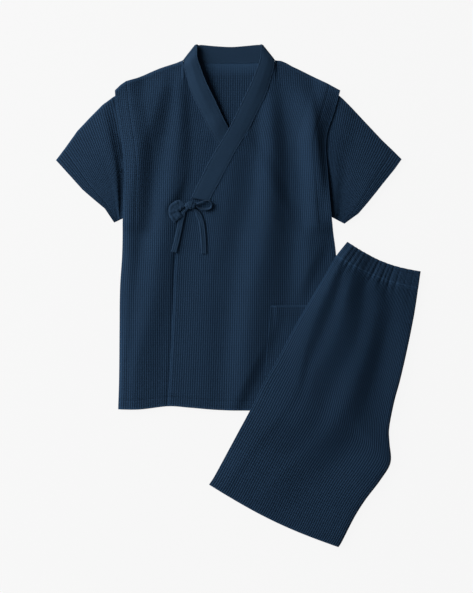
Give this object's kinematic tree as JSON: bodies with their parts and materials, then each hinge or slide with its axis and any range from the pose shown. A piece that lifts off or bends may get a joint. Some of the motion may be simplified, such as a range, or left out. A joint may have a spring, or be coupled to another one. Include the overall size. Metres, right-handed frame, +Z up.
{
  "type": "jinbei set",
  "caption": "Short-sleeved wrap jacket with collar band, side tie and patch pocket, laid flat with matching elastic-waist shorts folded on its corner.",
  "frame": {"origin": "centre of the bounding box's base, on the surface that the set lies on", "axes": "+Y from the jacket's hem to its neck, up in the picture; +X to the viewer's right, seen from above; +Z up, through the cloth"},
  "size_m": [0.7673, 1.0565, 0.0213],
  "materials": {
    "ribbed_cotton": "matt navy cotton with a fine raised rib",
    "plain_cotton": "matt navy plain-weave cotton"
  },
  "bodies": {
    "root": {"back": "ribbed_cotton", "right_front": "ribbed_cotton", "left_front": "ribbed_cotton", "right_sleeve": "ribbed_cotton", "left_sleeve": "ribbed_cotton", "collar": "plain_cotton", "pocket": "ribbed_cotton", "tie_knot": "plain_cotton", "tie_tail_left": "plain_cotton", "tie_tail_right": "plain_cotton", "tie_loop_left": "plain_cotton", "tie_loop_right": "plain_cotton", "shorts_leg": "ribbed_cotton", "shorts_inner_layers": "ribbed_cotton", "waistband": "ribbed_cotton"}
  },
  "joints": []
}
